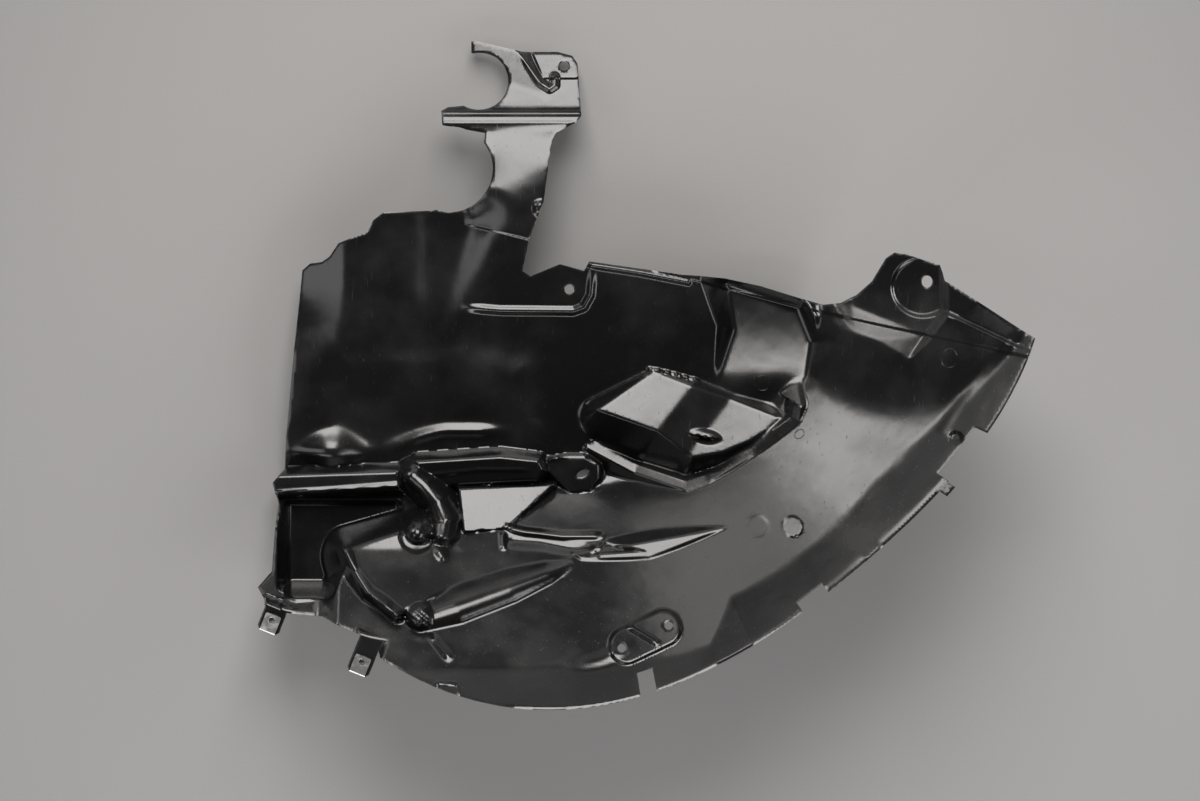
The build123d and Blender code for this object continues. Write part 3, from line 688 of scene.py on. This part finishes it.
def make_rings(material):
    """The mould's ring marks, each lying on the skin."""
    points, normals = [], []
    for x, y, _ in RING_MARKS:
        h0, hx, hy = skin_height(np.array([x, x + 1.0, x]), np.array([y, y, y + 1.0]))
        points.append((x, y, h0 + RING_LIFT))
        normals.append(lay @ Vector((h0 - hx, h0 - hy, 1.0)).normalized())
    mesh = bpy.data.meshes.new("ring_places")
    mesh.from_pydata(laid(points).tolist(), [], [])
    radius = mesh.attributes.new("ring_radius", "FLOAT", "POINT")
    radius.data.foreach_set("value", [r / 1000 for _, _, r in RING_MARKS])
    normal = mesh.attributes.new("skin_normal", "FLOAT_VECTOR", "POINT")
    normal.data.foreach_set("vector", [c for n in normals for c in n])
    piece = new_piece("mould_pin_marks", mesh)
    modifier = piece.modifiers.new("rings", "NODES")
    modifier.node_group = ring_tree(material)
    sockets = {item.name: item.identifier for item in modifier.node_group.interface.items_tree
               if item.in_out == "INPUT"}
    modifier[sockets["Bead radius"]] = RING_BEAD / 1000
    modifier[sockets["Sides"]] = RING_SIDES
    baked = bpy.data.meshes.new_from_object(piece.evaluated_get(bpy.context.evaluated_depsgraph_get()))
    piece.modifiers.clear()
    piece.data = baked
    return piece


def plate(outer, holes, low, high):
    """A flat plate with holes, as vertices and faces."""
    points = []
    edges = looped_edges(points, [outer] + holes)
    points, _, faces, *_ = delaunay_2d_cdt(points, edges, [], 0, 1e-5, False)
    kept = []
    for face in faces:
        middle = sum((points[i] for i in face), Vector((0, 0))) / len(face)
        at = np.array([middle.x]), np.array([middle.y])
        if inside(*at, outer)[0] and not any(inside(*at, hole)[0] for hole in holes):
            a, b, c = (points[i] for i in face[:3])
            kept.append(list(face) if (b - a).cross(c - a) > 0 else list(face)[::-1])
    count = len(points)
    vertices = [(p.x, p.y, z) for z in (high, low) for p in points]
    sides = {(a, b): True for face in kept for a, b in zip(face, face[1:] + face[:1])}
    rim = [(a, b) for a, b in sides if (b, a) not in sides]
    faces = kept + [[i + count for i in face[::-1]] for face in kept]
    faces += [[a, a + count, b + count, b] for a, b in rim]
    return vertices, faces


def rounded_box(x0, x1, y0, y1, radius, arc=5):
    """A rectangle with rounded corners, as a loop of points."""
    corners = [(x1 - radius, y1 - radius, 0), (x0 + radius, y1 - radius, 90), (x0 + radius, y0 + radius, 180),
               (x1 - radius, y0 + radius, 270)]
    return [(cx + radius * math.cos(math.radians(turn + 90 * i / arc)),
             cy + radius * math.sin(math.radians(turn + 90 * i / arc)))
            for cx, cy, turn in corners for i in range(arc + 1)]


def strip_of(sections):
    """A closed strip through four-cornered sections, as vertices and faces."""
    vertices = [corner for section in sections for corner in section]
    faces = [[a + k, a + (k + 1) % 4, a + 4 + (k + 1) % 4, a + 4 + k]
             for a in range(0, len(vertices) - 4, 4) for k in range(4)]
    faces += [[3, 2, 1, 0], [len(vertices) - 4 + k for k in range(4)]]
    return vertices, faces


def tube(path, width, thick):
    """A strip of sheet metal along a path in the u-w plane, closed at both ends."""
    sections = []
    for i, (u, w) in enumerate(path):
        before, after = path[max(i - 1, 0)], path[min(i + 1, len(path) - 1)]
        du, dw = after[0] - before[0], after[1] - before[1]
        length = math.hypot(du, dw)
        nu, nw = dw / length * thick / 2, -du / length * thick / 2
        sections.append([(u + nu, -width / 2, w + nw), (u + nu, width / 2, w + nw),
                         (u - nu, width / 2, w - nw), (u - nu, -width / 2, w - nw)])
    return strip_of(sections)


def thread_tongue(radius, start, base, steps=14):
    """Nearly half a turn of pressed thread round the hole of the nut."""
    sections = []
    inner = radius - THREAD_DEPTH
    for i in range(steps + 1):
        angle = math.radians(start + THREAD_TURN * i / steps)
        lift = base + THREAD_RISE * i / steps
        profile = [(radius, lift), (inner, lift + 0.1), (inner, lift - 0.2), (radius, lift - 0.35)]
        sections.append([(r * math.cos(angle), r * math.sin(angle), w) for r, w in profile])
    return strip_of(sections)


def make_nut(name, tab_x, tab_y, level, seat):
    """A spring nut folded round a tab's outer edge, with a pressed thread in its upper leaf."""
    bend = WALL / 2 + NUT_GAP + NUT_SHEET / 2
    middle = TAB_REACH + NUT_GAP + NUT_SHEET / 2 - NUT_FOLD
    parts = []
    hole = oval(0, 0, NUT_HOLE, NUT_HOLE, 28)
    lower_low, lower_end = -WALL - NUT_GAP - NUT_SHEET, NUT_BACK - NUT_BACK_SHORTER
    for low, end, holes in ((NUT_GAP, NUT_BACK, [hole]), (lower_low, lower_end, [])):
        leaf = rounded_box(-end, middle + 0.2, -NUT_WIDTH / 2, NUT_WIDTH / 2, NUT_CORNER)
        parts.append(plate(leaf, holes, low, low + NUT_SHEET))
    path = [(middle + NUT_FOLD * math.cos(angle), -WALL / 2 + bend * math.sin(angle))
            for angle in (math.pi * (0.5 - i / 12) for i in range(13))]
    parts.append(tube(path, NUT_WIDTH, NUT_SHEET))
    for start in (0, 180):
        parts.append(thread_tongue(NUT_HOLE + 0.05, start, NUT_GAP + NUT_SHEET - 0.3))
    vertices, faces = [], []
    for part_vertices, part_faces in parts:
        faces += [[i + len(vertices) for i in face] for face in part_faces]
        vertices += [(*turned_from(u + seat, v, tab_x, tab_y, TAB_ANGLE), level + w)
                     for u, v, w in part_vertices]
    mesh = bpy.data.meshes.new(name)
    mesh.from_pydata(laid(vertices).tolist(), [], faces)
    mesh.validate()
    return new_piece(name, mesh)


def principled(name, **values):
    """A material with its Principled shader, and the shader's own values set by name."""
    material = bpy.data.materials.new(name)
    material.use_nodes = True
    shader = material.node_tree.nodes["Principled BSDF"]
    for socket, value in values.items():
        shader.inputs[socket.replace("_", " ")].default_value = value
    return material, shader


def new_node(tree, kind, **values):
    """A node with some of its unlinked inputs set by name."""
    node = tree.nodes.new(kind)
    for socket, value in values.items():
        node.inputs[socket.replace("_", " ")].default_value = value
    return node


def calculate(tree, operation, *sides):
    """A Math node: each side is a socket or a number."""
    node = tree.nodes.new("ShaderNodeMath")
    node.operation = operation
    for socket, side in zip(node.inputs, sides):
        if hasattr(side, "is_linked"):
            tree.links.new(side, socket)
        else:
            socket.default_value = side
    return node.outputs[0]


def remapped(tree, value, low, high, to_low=0.0, to_high=1.0, way="LINEAR"):
    """A value moved from one range to another."""
    node = new_node(tree, "ShaderNodeMapRange", From_Min=low, From_Max=high, To_Min=to_low, To_Max=to_high)
    node.interpolation_type = way
    tree.links.new(value, node.inputs["Value"])
    return node.outputs["Result"]


def blended(tree, share, first, second):
    """A colour between two colours, by a mask."""
    node = tree.nodes.new("ShaderNodeMix")
    node.data_type = "RGBA"
    tree.links.new(share, node.inputs["Factor"])
    node.inputs["A"].default_value = (*first, 1)
    node.inputs["B"].default_value = (*second, 1)
    return node.outputs["Result"]


def shader_group(name, inputs, outputs):
    """An empty shader node group with its sockets, and its two end nodes."""
    group = bpy.data.node_groups.new(name, "ShaderNodeTree")
    for socket in inputs:
        group.interface.new_socket(socket, in_out="INPUT", socket_type="NodeSocketFloat")
    for socket in outputs:
        group.interface.new_socket(socket, in_out="OUTPUT", socket_type="NodeSocketFloat")
    return group, group.nodes.new("NodeGroupInput"), group.nodes.new("NodeGroupOutput")


def noise_of(tree, scale, detail, turn=(0, 0, 0), stretch=(1, 1, 1)):
    """Noise on Object coordinates: the scale is a socket or a number, in waves a metre."""
    coordinates = tree.nodes.new("ShaderNodeTexCoord")
    mapping = new_node(tree, "ShaderNodeMapping", Rotation=turn, Scale=stretch)
    noise = new_node(tree, "ShaderNodeTexNoise", Detail=detail)
    tree.links.new(coordinates.outputs["Object"], mapping.inputs["Vector"])
    tree.links.new(mapping.outputs["Vector"], noise.inputs["Vector"])
    if hasattr(scale, "is_linked"):
        tree.links.new(scale, noise.inputs["Scale"])
    else:
        noise.inputs["Scale"].default_value = scale
    return noise.outputs["Fac"]


def surface_grain_group():
    """Slow waves and fine grain of a surface, as a height in millimetres and a share of the grain."""
    inputs = ("Wave scale", "Wave height", "Grain scale", "Grain height")
    group, start, end = shader_group("surface_grain", inputs, ("Height", "Grain"))
    waves = noise_of(group, start.outputs["Wave scale"], detail=2)
    grain = noise_of(group, start.outputs["Grain scale"], detail=3)
    waves_high = calculate(group, "MULTIPLY", waves, start.outputs["Wave height"])
    grain_high = calculate(group, "MULTIPLY", grain, start.outputs["Grain height"])
    group.links.new(calculate(group, "ADD", waves_high, grain_high), end.inputs["Height"])
    group.links.new(grain, end.inputs["Grain"])
    return group


def edge_wear_group():
    """Rubbed edges: the edge mask of a piece, broken up so that it comes and goes along the edge."""
    group, start, end = shader_group("edge_wear", ("Edge", "Patch scale", "Cover"), ("Mask",))
    patches = noise_of(group, start.outputs["Patch scale"], detail=4)
    broken = calculate(group, "MULTIPLY", remapped(group, patches, 0.42, 0.6), start.outputs["Edge"])
    group.links.new(calculate(group, "MULTIPLY", broken, start.outputs["Cover"]), end.inputs["Mask"])
    return group


def dust_scratch_group():
    """Settled dust in patches and specks, and fine scratches in two directions."""
    group, start, end = shader_group("dust_and_scratches", ("Dust scale", "Scratch scale"),
                                     ("Dust", "Scratches"))
    haze = remapped(group, noise_of(group, start.outputs["Dust scale"], detail=5), 0.45, 0.75)
    specks = remapped(group, noise_of(group, scale=900, detail=1), 0.71, 0.76)
    group.links.new(calculate(group, "MAXIMUM", haze, specks), end.inputs["Dust"])
    scratch_scale = start.outputs["Scratch scale"]
    one_way = noise_of(group, scratch_scale, detail=2, turn=(0.3, 0.2, 0.6), stretch=(1, 0.04, 1))
    other_way = noise_of(group, scratch_scale, detail=2, turn=(0.1, 0.4, -0.9), stretch=(1, 0.05, 1))
    lines = calculate(group, "MAXIMUM", remapped(group, one_way, 0.7, 0.74),
                      remapped(group, other_way, 0.71, 0.75))
    group.links.new(lines, end.inputs["Scratches"])
    return group


def grouped(tree, group, **values):
    """A node group placed in a material, with its inputs set by name."""
    node = tree.nodes.new("ShaderNodeGroup")
    node.node_tree = group
    for socket, value in values.items():
        node.inputs[socket.replace("_", " ")].default_value = value
    return node


def bumped(tree, shader, height, strength=1.0):
    """A height in millimetres as a bump of the shader's normal."""
    bump = new_node(tree, "ShaderNodeBump", Strength=strength, Distance=0.001)
    tree.links.new(height, bump.inputs["Height"])
    tree.links.new(bump.outputs["Normal"], shader.inputs["Normal"])


surface_grain, edge_wear, dust_scratches = surface_grain_group(), edge_wear_group(), dust_scratch_group()


def moulded_black():
    """Semi-gloss black moulded plastic: slow waves, fine grain, pale rubbed edges, dust and scratches."""
    material, shader = principled("moulded_black_plastic", IOR=1.5)
    tree = material.node_tree
    grain = grouped(tree, surface_grain, Wave_scale=42.0, Wave_height=0.32, Grain_scale=1400.0,
                    Grain_height=0.010)
    dirt = grouped(tree, dust_scratches, Dust_scale=22.0, Scratch_scale=520.0)
    wear = grouped(tree, edge_wear, Patch_scale=160.0, Cover=0.8)
    edge = tree.nodes.new("ShaderNodeAttribute")
    edge.attribute_name = "rim"
    tree.links.new(edge.outputs["Fac"], wear.inputs["Edge"])
    dust, scratches = dirt.outputs["Dust"], dirt.outputs["Scratches"]
    pale = calculate(tree, "MAXIMUM", calculate(tree, "MULTIPLY", dust, 0.2), wear.outputs["Mask"])
    tree.links.new(blended(tree, pale, CLEAN_PLASTIC, DUSTY_PLASTIC), shader.inputs["Base Color"])
    dusty = calculate(tree, "MULTIPLY_ADD", dust, 0.10, 0.17)
    rubbed = calculate(tree, "MULTIPLY_ADD", scratches, 0.12, dusty)
    rough = calculate(tree, "MULTIPLY_ADD", grain.outputs["Grain"], 0.06, rubbed)
    tree.links.new(rough, shader.inputs["Roughness"])
    bumped(tree, shader, calculate(tree, "MULTIPLY_ADD", scratches, -0.008, grain.outputs["Height"]))
    return material


def zinc_steel():
    """Zinc-plated spring steel: cloudy patches in its grey, duller rubbed places and fine scratches."""
    material, shader = principled("zinc_plated_steel", Metallic=1.0)
    tree = material.node_tree
    grain = grouped(tree, surface_grain, Wave_scale=260.0, Wave_height=0.02, Grain_scale=3000.0,
                    Grain_height=0.008)
    dirt = grouped(tree, dust_scratches, Dust_scale=240.0, Scratch_scale=1400.0)
    wear = grouped(tree, edge_wear, Edge=1.0, Patch_scale=700.0, Cover=0.5)
    dust, scratches = dirt.outputs["Dust"], dirt.outputs["Scratches"]
    dull = calculate(tree, "MAXIMUM", calculate(tree, "MULTIPLY", dust, 0.7), wear.outputs["Mask"])
    tree.links.new(blended(tree, dull, BRIGHT_ZINC, DULL_ZINC), shader.inputs["Base Color"])
    tree.links.new(calculate(tree, "MULTIPLY_ADD", dust, 0.18, 0.34), shader.inputs["Roughness"])
    bumped(tree, shader, calculate(tree, "MULTIPLY_ADD", scratches, -0.01, grain.outputs["Height"]))
    return material


def studio_grey():
    """Matt pale grey floor paper: fine fibre, faint mottling, and painted shade that darkens it towards its
    far corners.
    """
    material, shader = principled("studio_grey_paper", IOR=1.45)
    tree = material.node_tree
    grain = grouped(tree, surface_grain, Wave_scale=9.0, Wave_height=0.2, Grain_scale=900.0,
                    Grain_height=0.03)
    coordinates = tree.nodes.new("ShaderNodeTexCoord")
    centred = new_node(tree, "ShaderNodeMapping", Location=(0.04, 0.16, 0))
    distance = tree.nodes.new("ShaderNodeVectorMath")
    distance.operation = "LENGTH"
    tree.links.new(coordinates.outputs["Object"], centred.inputs["Vector"])
    tree.links.new(centred.outputs["Vector"], distance.inputs[0])
    # Painted shade: the paper darkens smoothly with distance from the middle, towards its far corners
    far = remapped(tree, distance.outputs["Value"], 0.36, 1.0, 0.0, 0.62, way="SMOOTHSTEP")
    mottling_and_painted_shade = calculate(tree, "MULTIPLY_ADD", grain.outputs["Grain"], 0.10, far)
    tree.links.new(blended(tree, mottling_and_painted_shade, NEAR_PAPER, PAINTED_SHADE_PAPER), shader.inputs["Base Color"])
    rough = remapped(tree, grain.outputs["Grain"], 0.3, 0.7, 0.62, 0.78)
    tree.links.new(rough, shader.inputs["Roughness"])
    bumped(tree, shader, grain.outputs["Height"], strength=0.5)
    return material


plastic, steel = moulded_black(), zinc_steel()
liner = make_liner()
liner.data.materials.append(plastic)
rings = make_rings(plastic)
for piece in (liner, rings):
    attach(piece, "root")
    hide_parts("arch_liner")
for name, tab_x, tab_y, level, seat in TABS:
    nut = make_nut("folded_nut_" + name, tab_x, tab_y, level, seat)
    nut.data.materials.append(steel)
    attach(nut, "root")
    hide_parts("spring_nut_" + name)

half = FLOOR_SIZE / 2
floor_mesh = bpy.data.meshes.new("floor")
floor_mesh.from_pydata([(-half, -half, 0), (half, -half, 0), (half, half, 0), (-half, half, 0)], [],
                       [(0, 1, 2, 3)])
floor = new_piece("studio_floor", floor_mesh)
floor.data.materials.append(studio_grey())

# The camera stands straight above the photograph's middle and looks down the wheel's axle
camera_data = bpy.data.cameras.new("camera")
camera_data.lens = LENS
camera_data.sensor_width = SENSOR
camera_data.clip_end = CLIP_END
camera = bpy.data.objects.new("camera", camera_data)
camera.matrix_world = Matrix.Translation(Vector(laid([(0, 0, CAMERA_HEIGHT)])[0])) @ lay.to_4x4()
bpy.context.scene.collection.objects.link(camera)
bpy.context.scene.camera = camera


def softbox(name, off_axis, heading, width, height, glow, tint):
    """A rectangular softbox that faces the liner, at an angle off the vertical and a heading from +X."""
    tilt, turn = math.radians(off_axis), math.radians(heading)
    away = Vector((math.sin(tilt) * math.cos(turn), math.sin(tilt) * math.sin(turn), math.cos(tilt)))
    data = bpy.data.lights.new(name, "AREA")
    data.shape = "RECTANGLE"
    data.size, data.size_y = width, height
    data.energy = glow * math.pi * width * height
    data.color = tint
    lamp = bpy.data.objects.new(name, data)
    facing = away.to_track_quat("Z", "Y").to_matrix().to_4x4()
    lamp.matrix_world = Matrix.Translation(away * LIGHT_DISTANCE) @ facing
    bpy.context.scene.collection.objects.link(lamp)


for light in LIGHTS:
    softbox(*light)

world = bpy.data.worlds.new("studio")
bpy.context.scene.world = world
world.use_nodes = True
world.node_tree.nodes["Background"].inputs["Color"].default_value = WORLD_GLOW
bpy.context.scene.view_settings.view_transform = "Standard"
